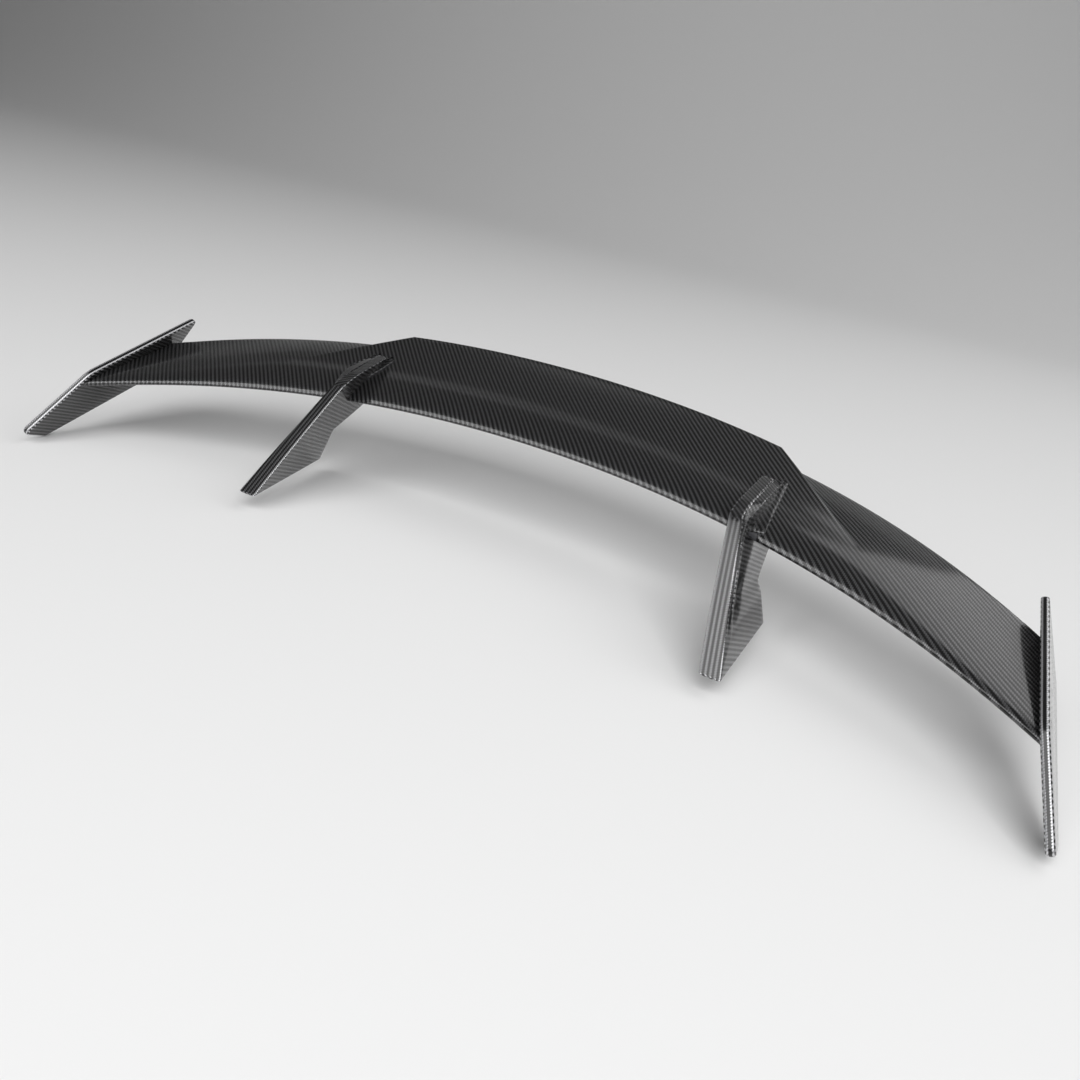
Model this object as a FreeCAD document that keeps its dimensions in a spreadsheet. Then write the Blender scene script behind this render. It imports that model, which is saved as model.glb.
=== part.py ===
"""Racing rear wing: arched carbon blade on two swan-neck uprights, with canted endplates.

Row frame: +X along the span, +Y rearwards, +Z up, in millimetres.
The origin is the centre of the four mounting holes, on the plane the two feet stand on.
The right side (+X) is modelled and the left side is its mirror image.
"""

import FreeCAD, Part
import math
import os
import Sketcher

Vector = FreeCAD.Vector

# name, value, what it sets (millimetres or degrees)
SIZES = [
    ("half_span", 666.0, "centre to the endplate's inner face at the leading edge"),
    ("blade_setback", 139.3, "bolt pattern centre to the middle of the leading edge"),
    ("blade_height", 124.2, "feet plane to the middle of the leading edge"),
    ("edge_sweep", 133.3, "how far the leading edge comes forward, square-law part"),
    ("tip_sweep", 53.0, "how far the leading edge comes forward, fourth-power part"),
    ("edge_drop", 57.9, "how far the leading edge comes down, square-law part"),
    ("tip_drop", 4.6, "how far the leading edge comes down, fourth-power part"),
    ("chord_middle", 170.2, "chord of the plain section at the middle"),
    ("chord_belly", 14.6, "chord gained, square-law part"),
    ("chord_taper", 19.0, "chord lost, fourth-power part"),
    ("incidence", 18.4, "nose-down angle of the plain section at the middle"),
    ("washout", 4.4, "angle lost at the tip"),
    ("blade_thickness", 18.0, "greatest thickness of the section"),
    ("tail_thickness", 3.0, "thickness of the trailing edge"),
    ("skin", 1.8, "thickness of the carbon skins"),
    ("sag", 4.5, "downward camber of the tip section"),
    ("crown", 9.7, "extra upward camber of the middle sections"),
    ("deck_rise", 22.3, "height of the raised deck above the plain trailing edge"),
    ("deck_shift", 4.6, "how far the raised trailing edge stands back at the middle"),
    ("deck_curl", 45.2, "how fast the raised trailing edge curls forward"),
    ("deck_start", 0.42, "share of the chord where the deck starts to rise"),
    ("deck_half", 302.0, "half length of the raised trailing edge"),
    ("deck_end", 441.0, "span at which the step of the deck fades out"),
    ("step_wall", 2.5, "thickness of the wall that closes the step"),
    ("spar_front", 0.24, "share of the chord at the spar's front web"),
    ("spar_rear", 0.36, "share of the chord at the spar's rear web"),
    ("spar_wall", 2.0, "wall of the spar tube"),
    ("hardpoint_half", 24.0, "half length of the block under an upright"),
    ("hardpoint_rear", 0.66, "share of the chord at the block's rear face"),
    ("tip_rib", 12.0, "thickness of the closing rib at a tip"),
    ("foot_gap", 324.1, "centre to the inner front corner of a foot"),
    ("foot_setback", 63.0, "bolt pattern centre forward to the front of a foot"),
    ("foot_length", 180.0, "length of a foot"),
    ("foot_width", 26.5, "width of a foot at its front"),
    ("foot_tail_width", 9.5, "width of a foot at its rear corner"),
    ("web_flare", 3.5, "degrees by which the web leans in less than the inner face"),
    ("spine_top_width", 17.0, "width of the spine at the knee"),
    ("spine_depth", 24.0, "depth of the thick front band of the upright"),
    ("lean", 22.2, "inward lean of an upright in degrees"),
    ("toe", 9.4, "outward toe of an upright in degrees"),
    ("knee_lead", 35.0, "leading edge forward to the knee"),
    ("knee_above", 35.3, "leading edge up to the knee"),
    ("arm_height", 10.0, "height of the arm above the deck at its rear end"),
    ("arm_reach", 0.53, "share of the chord where the arm's ridge ends"),
    ("notch_height", 57.0, "height of the notch in the rear edge"),
    ("notch_inset", 4.0, "how far the notch stands ahead of the foot's rear corner"),
    ("web_depth", 52.0, "depth of the web below the blade"),
    ("flange_height", 3.0, "thickness of the bonding flange on the deck"),
    ("flange_margin", 9.0, "bonding flange beyond the arm on each side"),
    ("flange_rear", 14.0, "how far the bonding flange reaches behind the ridge's end"),
    ("flange_front", 3.0, "leading edge back to the front of the bonding flange"),
    ("front_bulge", 6.0, "how far the front edge stands ahead of a straight line"),
    ("front_lift", 5.0, "how far the front edge stands above a straight line"),
    ("ridge_lift", 5.5, "how far the arm's ridge stands above a straight line"),
    ("arm_end", 12.0, "length of the slope that closes the arm's rear end"),
    ("web_start", 0.45, "share of the chord above the web's deepest point"),
    ("web_end", 0.80, "share of the chord where the web ends under the blade"),
    ("upright_wall", 2.5, "laminate of an upright"),
    ("glue", 0.5, "thickness of the adhesive between upright and blade"),
    ("foot_plate_height", 10.0, "height of the metal plate in a foot"),
    ("bolt_spacing_y", 30.0, "mounting holes, front to rear"),
    ("bolt_setback", 19.9, "inner front corner of a foot out to the hole centres"),
    ("insert_radius", 3.0, "outside radius of a mounting thread insert"),
    ("bolt_radius", 2.1, "wall radius of the mounting threads"),
    ("plate_cant", 26.0, "outward cant of an endplate in degrees"),
    ("plate_toe", 5.7, "toe of an endplate in degrees"),
    ("plate_thickness", 9.5, "thickness of an endplate"),
    ("plate_skin", 2.0, "laminate of an endplate"),
    ("plate_rim", 3.2, "rounding of an endplate's rim"),
    ("plate_screw_radius", 2.5, "thread radius of an endplate screw"),
    ("plate_screw_clearance", 0.25, "radial clearance of the screw in the endplate"),
    ("plate_screw_head", 4.7, "head radius of an endplate screw"),
    ("plate_screw_rim", 0.4, "straight rim of an endplate screw's head"),
    ("plate_screw_short", 1.0, "how far an endplate screw ends before its insert does"),
    ("plate_socket", 1.55, "corner radius of the screw's hexagon socket"),
    ("plate_socket_depth", 2.2, "depth of the screw's hexagon socket"),
    ("plate_boss", 3.0, "solid laminate left round a screw's head"),
    ("plate_insert_radius", 4.2, "outside radius of the insert in the tip rib"),
    ("plate_insert_length", 11.0, "length of the insert in the tip rib"),
]

# Endplate outline in its own plane: along the plate rearwards, then up the plate,
# measured from the leading edge's corner, with the rounding of each corner.
PLATE_OUTLINE = [
    (208.0, 81.0, 6.0),
    (8.0, 18.0, 38.0),
    (-84.0, -75.0, 9.0),
    (-40.0, -93.5, 12.0),
    (170.0, -22.0, 6.0),
]

SPAN_STATIONS = 9
SURFACE_POINTS = 12
FAR = 400.0

doc = FreeCAD.newDocument("rear_wing")
sheet = doc.addObject("Spreadsheet::Sheet", "sizes")
for row, (name, value, note) in enumerate(SIZES, start=1):
    sheet.set("A%d" % row, note)
    sheet.set("B%d" % row, str(value))
    sheet.setAlias("B%d" % row, name)
doc.recompute()


def size(name):
    return float(sheet.get(name))


def slope(name):
    return math.tan(math.radians(size(name)))


# ---------------------------------------------------------------- blade geometry


def leading_edge(x):
    u = x / size("half_span")
    y = size("blade_setback") - size("edge_sweep") * u**2 - size("tip_sweep") * u**4
    z = size("blade_height") - size("edge_drop") * u**2 - size("tip_drop") * u**4
    return y, z


def smooth_fade(u, start, end):
    """1 below start, 0 beyond end, with level ends between."""
    t = min(max((abs(u) - start) / (end - start), 0.0), 1.0)
    return 1.0 - t * t * (3.0 - 2.0 * t)


def camber(x, s):
    u = x / size("half_span")
    fade = smooth_fade(u, size("deck_end") / size("half_span"), 0.97)
    return (size("crown") * fade - size("sag")) * 4.0 * s * (1.0 - s)


def half_thickness(s):
    """Half the thickness of a four-digit section at share s of the chord."""
    root = 0.2969 * math.sqrt(s) - 0.1260 * s
    tail = -0.3516 * s**2 + 0.2843 * s**3 - 0.1036 * s**4
    return size("blade_thickness") * 5.0 * (root + tail) + size("tail_thickness") * s / 2


def deck_share(s):
    """How much of the deck's rise is reached at share s of the chord."""
    start = size("deck_start")
    if s <= start:
        return 0.0
    return ((s - start) / (1.0 - start)) ** 1.5


def section_point(x, s, side, inset=0.0, raised=False):
    """Point of the section at span x. side is 1 on top, -1 below and 0 on the camber line."""
    u = x / size("half_span")
    y, z = leading_edge(x)
    chord = size("chord_middle") + size("chord_belly") * u**2 - size("chord_taper") * u**4
    angle = math.radians(size("incidence") - size("washout") * u**4)
    off = camber(x, s) + side * (half_thickness(s) - inset)
    y += s * chord * math.cos(angle) - off * math.sin(angle)
    z += s * chord * math.sin(angle) + off * math.cos(angle)
    if raised:
        share = deck_share(s)
        y += share * (size("deck_shift") - size("deck_curl") * u**2)
        z += share * size("deck_rise")
    return Vector(x, y, z)


def shares(start, end):
    """Shares of the chord from start to end, closer together near both."""
    steps = [0.5 - 0.5 * math.cos(math.pi * i / SURFACE_POINTS) for i in range(SURFACE_POINTS + 1)]
    return [start + (end - start) * step for step in steps]


def surface_edge(x, start, end, side, inset=0.0, raised=False):
    """Smooth edge along the section from share start to share end."""
    curve = Part.BSplineCurve()
    curve.interpolate([section_point(x, s, side, inset, raised) for s in shares(start, end)])
    return curve.toShape()


def skin_edges(x, start, end, side, inset, raised):
    """The same in two edges that meet where the deck starts, so that plain and raised fit exactly."""
    middle = size("deck_start")
    first = surface_edge(x, start, middle, side, inset, raised)
    return [first, surface_edge(x, middle, end, side, inset, raised)]


def line_edge(first, second):
    return Part.LineSegment(first, second).toShape()


def chain(edges):
    """Closed wire through the edges, with straight pieces wherever two ends stand apart."""
    joined = []
    for edge, following in zip(edges, edges[1:] + edges[:1]):
        joined.append(edge)
        end = edge.Vertexes[-1].Point
        start = following.Vertexes[0].Point
        if end.distanceToPoint(start) > 1e-6:
            joined.append(line_edge(end, start))
    return Part.Wire(joined)


NOSE = 0.03
TAIL = 0.93


def skin_wire(x, side, raised):
    """One skin: its outside, its inside, and the joint faces at nose and tail."""
    skin = size("skin")
    nose = section_point(x, NOSE, 0, 0, raised)
    tail = section_point(x, TAIL, 0, 0, raised)
    end = section_point(x, 1, 0, 0, raised)
    outside = skin_edges(x, 0, 1, side, 0, raised)
    inside = skin_edges(x, TAIL, NOSE, side, skin, raised)
    turn = line_edge(inside[-1].Vertexes[-1].Point, nose)
    return chain(outside + [line_edge(end, tail)] + inside + [turn])


def filling_wire(x, start, end, raised, inset=0.0):
    """Section of what fills the blade between two shares of the chord."""
    depth = size("skin") + inset
    top = surface_edge(x, start, end, 1, depth, raised)
    return chain([top, surface_edge(x, end, start, -1, depth, raised)])


def step_wire(x):
    """From the plain underside up to the raised top, for the wall at the step."""
    return chain(skin_edges(x, 0, 1, 1, 0, True) + skin_edges(x, 1, 0, -1, 0, False))


def stations(first, last, count=SPAN_STATIONS):
    return [first + (last - first) * i / (count - 1) for i in range(count)]


def loft(wires):
    return Part.makeLoft(wires, True, False)


def middle_loft(wire, *rest):
    """Between the two spans where the step of the deck fades out."""
    return loft([wire(x, *rest) for x in stations(-size("deck_end"), size("deck_end"), 11)])


def right_loft(wire, *rest):
    """From under the deck out past the tip, with a station where the step fades out."""
    under = stations(size("deck_half") - 20, size("deck_end"), 4)
    beyond = stations(size("deck_end"), size("half_span") + 70, 6)
    return loft([wire(x, *rest) for x in under + beyond[1:]])


def full_loft(wire, *rest):
    reach = size("half_span") + 70
    return loft([wire(x, *rest) for x in stations(-reach, reach, 2 * SPAN_STATIONS - 1)])


def mirrored(shape):
    return shape.mirror(Vector(0, 0, 0), Vector(1, 0, 0))


def prism(outline, bottom=-FAR, height=2 * FAR):
    """Upright prism over a plan outline of (x, y) points."""
    points = [Vector(x, y, bottom) for x, y in outline]
    return Part.Face(Part.makePolygon(points + points[:1])).extrude(Vector(0, 0, height))


def step_line(y):
    """Span of the step's plan line at a distance y behind the bolt pattern."""
    start = section_point(size("deck_half"), 1, 1, 0, True)
    finish = section_point(size("deck_end"), size("deck_start"), 1)
    return start.x + (finish.x - start.x) * (y - start.y) / (finish.y - start.y)


def deck_region(grow):
    """Plan prism of the raised deck; grow moves the step's line outwards."""
    corner = section_point(size("deck_end"), size("deck_start"), 1).y
    right = [
        (size("deck_end") + grow, -FAR),
        (size("deck_end") + grow, corner),
        (step_line(FAR) + grow, FAR),
    ]
    left = [(-x, y) for x, y in right[::-1]]
    return prism(right + left)


def step_slab():
    """Plan prism of the right-hand wall that closes the step, just inside its line."""
    wall = size("step_wall")
    corner = section_point(size("deck_end"), size("deck_start"), 1).y
    far = step_line(FAR)
    outline = [
        (size("deck_end"), corner),
        (far, FAR),
        (far - wall, FAR),
        (size("deck_end") - wall, corner),
    ]
    return prism(outline)


# ------------------------------------------------------------ endplate's own frame


def plate_placement():
    """Endplate frame: x along the plate rearwards, y up it and z outwards."""
    y, z = leading_edge(size("half_span"))
    outward = Vector(1, -slope("plate_toe"), slope("plate_cant")).normalize()
    along = (Vector(0, 1, 0) - outward * outward.y).normalize()
    up = outward.cross(along)
    turn = FreeCAD.Rotation(along, up, outward, "ZXY")
    return FreeCAD.Placement(Vector(size("half_span"), y, z), turn)


def outside_plate(inset=0.0):
    """Everything beyond the right endplate's inner face, or beyond a plane inset from it."""
    block = Part.makeBox(4 * FAR, 4 * FAR, 2 * FAR, Vector(-2 * FAR, -2 * FAR, -inset))
    block.Placement = plate_placement()
    return block


def trim_tips(shape, inset=0.0):
    right = outside_plate(inset)
    return shape.cut([right, mirrored(right)])


def screw_spots():
    """Endplate screw places in the plate's plane, on the camber line of the tip section."""
    place = plate_placement().inverse()
    spots = []
    for share in (0.2, 0.52):
        x = size("half_span")
        for _ in range(6):
            x -= place.multVec(section_point(x, share, 0)).z
        spot = place.multVec(section_point(x, share, 0))
        spots.append((spot.x, spot.y))
    return spots


# ---------------------------------------------------------------- document objects


def shape_object(label, shape, place=FreeCAD.Placement()):
    """Sub-part whose shape is worked out from the sheet by the functions above."""
    piece = doc.addObject("Part::Feature", label)
    piece.Label = label
    piece.Shape = shape
    piece.Placement = place
    return piece


def mirror_object(source, label):
    piece = doc.addObject("Part::Mirroring", label)
    piece.Label = label
    piece.Source = source
    piece.Normal = Vector(1, 0, 0)
    piece.Base = Vector(0, 0, 0)
    return piece


def group_object(members, label):
    piece = doc.addObject("Part::Compound", label)
    piece.Label = label
    piece.Links = members
    return piece


def bound(piece, **cells):
    """Bind properties of a document object to cells or formulas of the sheet."""
    for prop, formula in cells.items():
        piece.setExpression(prop, formula)
    return piece


def cylinder(radius, length):
    return bound(doc.addObject("Part::Cylinder", "round"), Radius=radius, Height=length)


def solid_of(shape):
    """The main solid of a boolean result, cleaned of split faces and of slivers."""
    return max(shape.removeSplitter().Solids, key=lambda solid: solid.Volume)


def blade_skin(label, side):
    """One full-span skin: raised deck in the middle, plain outer panels, and the step."""
    deck = deck_region(0)
    middle = middle_loft(skin_wire, side, True).common(deck)
    panel = right_loft(skin_wire, side, False).cut(deck)
    pieces = [panel, mirrored(panel)]
    wall = middle_loft(step_wire).common(step_slab())
    walls = [wall, mirrored(wall)]
    if side > 0:
        shape = middle.fuse(pieces + walls)
    else:
        shape = middle.cut(walls).fuse(pieces)
    return shape_object(label, trim_tips(shape).Solids[0])


def deck_inside():
    """Plan prism that lies inside both step walls."""
    return deck_region(-size("step_wall"))


def make_blade():
    blade_skin("blade_upper_skin", 1)
    blade_skin("blade_lower_skin", -1)
    rib = size("tip_rib")
    front = size("spar_front")
    rear = size("spar_rear")
    nose = full_loft(filling_wire, NOSE, front, False)
    shape_object("blade_nose_core", solid_of(trim_tips(nose, rib)))
    tube = full_loft(filling_wire, front, rear, False)
    wall_share = size("spar_wall") / size("chord_middle")
    hollow = full_loft(filling_wire, front + wall_share, rear - wall_share, False, size("spar_wall"))
    shape_object("blade_main_spar", solid_of(trim_tips(tube, rib).cut(hollow)))
    centre = middle_loft(filling_wire, rear, TAIL, True).common(deck_inside())
    block = right_hardpoint()
    centre = centre.cut([block, mirrored(block)])
    shape_object("blade_rear_core_centre", solid_of(centre))
    outer = right_loft(filling_wire, rear, TAIL, False).cut([deck_region(0), outside_plate(rib)])
    outer_core = shape_object("blade_rear_core_right", solid_of(outer))
    mirror_object(outer_core, "blade_rear_core_left")
    hardpoint = shape_object("upright_hardpoint_right", solid_of(block))
    mirror_object(hardpoint, "upright_hardpoint_left")


def arm_x():
    """Span of the middle of the arm where it crosses the leading edge."""
    y, z = leading_edge(size("foot_gap"))
    return (inner_face(y, z) + spine_face(y, z)) / 2


def right_hardpoint():
    filling = middle_loft(filling_wire, size("spar_rear"), size("hardpoint_rear"), True)
    half = size("hardpoint_half")
    across = [arm_x() - half, arm_x() + half]
    outline = [(across[0], -FAR), (across[1], -FAR), (across[1], FAR), (across[0], FAR)]
    return filling.common(prism(outline))


# ---------------------------------------------------------------------- uprights


def inner_face(y, z):
    """Span of an upright's inner face at a height z and a distance y."""
    forward = y + size("foot_setback")
    return size("foot_gap") + slope("toe") * forward - slope("lean") * z


def spine_face(y, z):
    """Span of the outer face of the thick front band."""
    knee = leading_edge(size("foot_gap"))[1] + size("knee_above")
    narrowing = (size("foot_width") - size("spine_top_width")) * z / knee
    return inner_face(y, z) + size("foot_width") - narrowing


def web_face(y, z):
    """Span of the outer face of the web behind the band."""
    forward = (y + size("foot_setback")) / size("foot_length")
    narrowing = (size("foot_width") - size("foot_tail_width")) * forward
    return inner_face(y, z) + size("foot_width") - narrowing + slope("web_flare") * z


def beside(face, inset, reach):
    """Solid on one side of a slanted face moved out by inset: outboard for a positive reach."""
    ys = (-FAR / 2, FAR)
    zs = (-FAR / 4, FAR)
    corners = [(ys[0], zs[0]), (ys[1], zs[0]), (ys[1], zs[1]), (ys[0], zs[1])]
    near = Part.makePolygon([Vector(face(y, z) + inset, y, z) for y, z in corners + corners[:1]])
    return Part.Face(near).extrude(Vector(reach, 0, 0))


def between(shape, low_face, high_face, inset=0.0):
    """Part of a shape between two slanted faces, kept inset away from both."""
    outboard = beside(low_face, inset, FAR)
    inboard = beside(high_face, -inset, -FAR)
    return shape.common(outboard).common(inboard)


def side_wire(first, bends):
    """Wire in the side view from (y, z) points; a bend of three values is an arc's middle and end."""
    edges = []
    at = Vector(0, *first)
    for bend in bends:
        if len(bend) == 2:
            end = Vector(0, *bend)
            edges.append(line_edge(at, end))
        else:
            middle = Vector(0, *bend[0:2])
            end = Vector(0, *bend[2:4])
            edges.append(Part.Arc(at, middle, end).toShape())
        at = end
    return Part.Wire(edges)


def side_marks():
    """Named (y, z) points of the upright's side view, tied to the foot and to the blade."""
    x = arm_x()
    nose = section_point(x, 0, 0)
    ridge = section_point(x, size("arm_reach"), 1, 0, True)
    below = section_point(x, size("web_start"), -1, 0, True)
    last = section_point(x, size("web_end"), -1, 0, True)
    front = -size("foot_setback")
    heel = front + size("foot_length")
    return {
        "front": (front, 0.0),
        "knee": (nose.y - size("knee_lead"), nose.z + size("knee_above")),
        "ridge": (ridge.y, ridge.z + size("arm_height")),
        "heel": (heel, 0.0),
        "notch": (heel - size("notch_inset"), size("notch_height")),
        "belly": (below.y, below.z - size("web_depth")),
        "last": (last.y, last.z),
    }


def upright_outline():
    """Closed side view of an upright; the blade's slot is cut from it afterwards."""
    marks = side_marks()
    front, knee, ridge = marks["front"], marks["knee"], marks["ridge"]
    heel, notch, belly, last = marks["heel"], marks["notch"], marks["belly"], marks["last"]
    bulge = ((front[0] + knee[0]) / 2 - size("front_bulge"), (front[1] + knee[1]) / 2 + size("front_lift"))
    rise = ((knee[0] + ridge[0]) / 2, (knee[1] + ridge[1]) / 2 + size("ridge_lift"))
    turn = ((belly[0] + last[0]) / 2 + 8.0, (belly[1] + last[1]) / 2 - 10.0)
    bends = [
        (*bulge, *knee),
        (*rise, *ridge),
        (ridge[0] + size("arm_end"), ridge[1] - size("arm_height")),
        (last[0], last[1] + 4.0),
        (last[0], last[1] - 3.0),
        (*turn, *belly),
        notch,
        heel,
        front,
    ]
    return side_wire(front, bends)


def side_prism(wire):
    return Part.Face(wire).extrude(Vector(2 * FAR, 0, 0))


def spine_band(depth):
    """Side-view strip behind the front edge, as deep as the thick band."""
    marks = side_marks()
    front, knee, ridge = marks["front"], marks["knee"], marks["ridge"]
    outline = [
        (front[0] - FAR / 4, -FAR / 4),
        (front[0] + depth * 1.35, -FAR / 4),
        (front[0] + depth * 1.35, 0.0),
        (knee[0] + depth * 0.8, knee[1] - depth * 0.9),
        (ridge[0] + FAR / 8, ridge[1] - depth),
        (ridge[0] + FAR / 8, ridge[1] + FAR / 8),
        (front[0] - FAR / 4, ridge[1] + FAR / 8),
    ]
    return side_prism(side_wire(outline[0], outline[1:] + outline[:1]))


def upright_outside():
    """Outer form of the right upright before the blade's slot is cut."""
    body = side_prism(upright_outline())
    web = between(body, inner_face, web_face).common(beside(spine_face, 0.0, -FAR))
    spine = between(body, inner_face, spine_face).common(spine_band(size("spine_depth")))
    return web.fuse(spine)


def flange_solid(bottom):
    """Bonding flange on the deck, from height bottom above the deck up to its full height."""
    margin = size("flange_margin")
    marks = side_marks()
    x, (nose_y, nose_z) = arm_x(), leading_edge(arm_x())
    end_y = marks["ridge"][0] + size("flange_rear")
    start_y = nose_y + size("flange_front")
    front_in = inner_face(nose_y, nose_z) + 1.0
    front_out = spine_face(nose_y, nose_z) + margin / 2
    rear_in = inner_face(end_y, marks["ridge"][1]) - margin
    rear_out = spine_face(end_y, marks["ridge"][1]) + 1.6 * margin
    outline = [(front_in, start_y), (front_out, start_y), (rear_out, end_y), (rear_in, end_y)]

    def cap_wire(span):
        top = surface_edge(span, 0.02, 0.75, 1, -size("flange_height"), True)
        return chain([top, surface_edge(span, 0.75, 0.02, 1, -bottom, True)])

    cap = loft([cap_wire(span) for span in stations(x - 50, x + 50, 5)])
    return cap.common(prism(outline))


def glued_blade(thickness):
    """Blade's outside near an upright, with a layer of adhesive on it."""
    x = arm_x()

    def wire(span):
        top = surface_edge(span, 0, 1, 1, -thickness, True)
        return chain([top, surface_edge(span, 1, 0, -1, -thickness, True)])

    return loft([wire(span) for span in stations(x - 60, x + 60, 5)])


def upright_cavity():
    """Room inside the upright's laminate, open at the bottom of the foot."""
    wall = size("upright_wall")
    marks = side_marks()
    front, knee, heel = marks["front"], marks["knee"], marks["heel"]
    notch, belly = marks["notch"], marks["belly"]
    nose = section_point(arm_x(), 0, 0)
    under = section_point(arm_x(), 0.3, -1, 0, True)
    outline = [
        (front[0] + 2 * wall, 0.0),
        (knee[0] + wall, knee[1] - 4 * wall),
        (nose.y - 5 * wall, nose.z + wall),
        (nose.y - 5 * wall, nose.z - 5 * wall),
        (under.y, under.z - 6 * wall),
        (belly[0] - wall, belly[1] + 3 * wall),
        (notch[0] - 3 * wall, notch[1] + wall),
        (heel[0] - 4 * wall, 0.0),
    ]
    room = side_prism(side_wire(outline[0], outline[1:] + outline[:1]))
    return between(room, inner_face, web_face, wall)


def below_height(height):
    return Part.makeBox(4 * FAR, 4 * FAR, height + FAR, Vector(-2 * FAR, -2 * FAR, -FAR))


def bolt_spots():
    x = size("foot_gap") + size("bolt_setback")
    half = size("bolt_spacing_y") / 2
    return [(x, -half), (x, half)]


def make_upright():
    glue = size("glue")
    height = size("foot_plate_height")
    outside = upright_outside().fuse(flange_solid(glue))
    outside = outside.cut(glued_blade(glue))
    cavity = upright_cavity()
    shell = shape_object("upright_right", solid_of(outside.cut(cavity)))
    core = shape_object("upright_core_right", solid_of(cavity.cut(below_height(height))))
    plate_shape = cavity.common(below_height(height))
    holes = [Part.makeCylinder(size("insert_radius"), FAR, Vector(x, y, -1)) for x, y in bolt_spots()]
    plate = shape_object("foot_plate_right", solid_of(plate_shape.cut(holes)))
    tight = upright_outside().fuse(flange_solid(0.0))
    bed_shape = tight.common(glued_blade(glue)).cut(glued_blade(0.0))
    bed = shape_object("adhesive_bed_right", Part.Compound(bed_shape.Solids))
    for piece in (shell, core, plate, bed):
        mirror_object(piece, piece.Label.removesuffix("right") + "left")


def make_mounting_inserts():
    members = []
    for x, y in bolt_spots():
        tube = doc.addObject("Part::Cut", "mounting_insert")
        tube.Base = cylinder("sizes.insert_radius", "sizes.foot_plate_height")
        tube.Tool = cylinder("sizes.bolt_radius", "sizes.foot_plate_height")
        tube.Placement = FreeCAD.Placement(Vector(x, y, 0), FreeCAD.Rotation())
        members.append(tube)
    inserts = group_object(members, "mounting_inserts_right")
    mirror_object(inserts, "mounting_inserts_left")


# --------------------------------------------------------------------- endplates


def origin_plane(body, role):
    return next(plane for plane in body.Origin.OriginFeatures if plane.Role == role)


def closed_sketch(body, points, place):
    """Closed outline on the body's XY plane, each corner held by its two distances."""
    sketch = body.newObject("Sketcher::SketchObject", "outline")
    sketch.AttachmentSupport = (origin_plane(body, "XY_Plane"), [""])
    sketch.MapMode = "FlatFace"
    sketch.AttachmentOffset = place
    corners = [Vector(x, y, 0) for x, y in points]
    for start, end in zip(corners, corners[1:] + corners[:1]):
        sketch.addGeometry(Part.LineSegment(start, end))
    count = len(corners)
    for i in range(count):
        sketch.addConstraint(Sketcher.Constraint("Coincident", i, 2, (i + 1) % count, 1))
        sketch.addConstraint(Sketcher.Constraint("DistanceX", -1, 1, i, 1, corners[i].x))
        sketch.addConstraint(Sketcher.Constraint("DistanceY", -1, 1, i, 1, corners[i].y))
    return sketch


def inset_outline(points, inset):
    """Outline moved inwards by inset, corner by corner."""
    moved = []
    count = len(points)
    for i, (x, y) in enumerate(points):
        before = Vector(x - points[i - 1][0], y - points[i - 1][1], 0).normalize()
        after = Vector(points[(i + 1) % count][0] - x, points[(i + 1) % count][1] - y, 0).normalize()
        turn = before.cross(after).z
        shift = (after - before) * (inset / abs(turn)) if turn else Vector()
        moved.append((x + shift.x, y + shift.y))
    return moved


def corner_names(shape, points):
    """Names of the straight edges that stand on the outline's corners."""
    names = []
    for x, y in points:
        for number, edge in enumerate(shape.Edges, start=1):
            ends = [vertex.Point for vertex in edge.Vertexes]
            if all(math.hypot(end.x - x, end.y - y) < 1e-4 for end in ends):
                names.append("Edge%d" % number)
    return names


def rim_names(shape, heights):
    names = []
    for number, edge in enumerate(shape.Edges, start=1):
        zs = [vertex.Point.z for vertex in edge.Vertexes]
        for height in heights:
            if all(abs(z - height) < 1e-4 for z in zs):
                names.append("Edge%d" % number)
    return names


def plate_body(label, inset_name, thickness, rim_radius):
    """Rounded endplate form; inset_name is empty for the outside or names the laminate."""
    inset = size(inset_name) if inset_name else 0.0
    points = inset_outline([(x, y) for x, y, radius in PLATE_OUTLINE], inset)
    body = doc.addObject("PartDesign::Body", label)
    body.Label = label
    place = FreeCAD.Placement(Vector(0, 0, inset), FreeCAD.Rotation())
    sketch = closed_sketch(body, points, place)
    pad = body.newObject("PartDesign::Pad", "thickness")
    pad.Profile = sketch
    bound(pad, Length=thickness)
    doc.recompute()
    for (x, y), (_, _, radius) in zip(points, PLATE_OUTLINE):
        base = body.Tip
        rounding = body.newObject("PartDesign::Fillet", "corner")
        rounding.Base = (base, corner_names(base.Shape, [(x, y)]))
        rounding.Radius = max(radius - inset, 1.0)
        doc.recompute()
    base = body.Tip
    rim = body.newObject("PartDesign::Fillet", "rim")
    heights = [inset, inset + pad.Length.Value]
    rim.Base = (base, rim_names(base.Shape, heights))
    bound(rim, Radius=rim_radius)
    doc.recompute()
    return body


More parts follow.
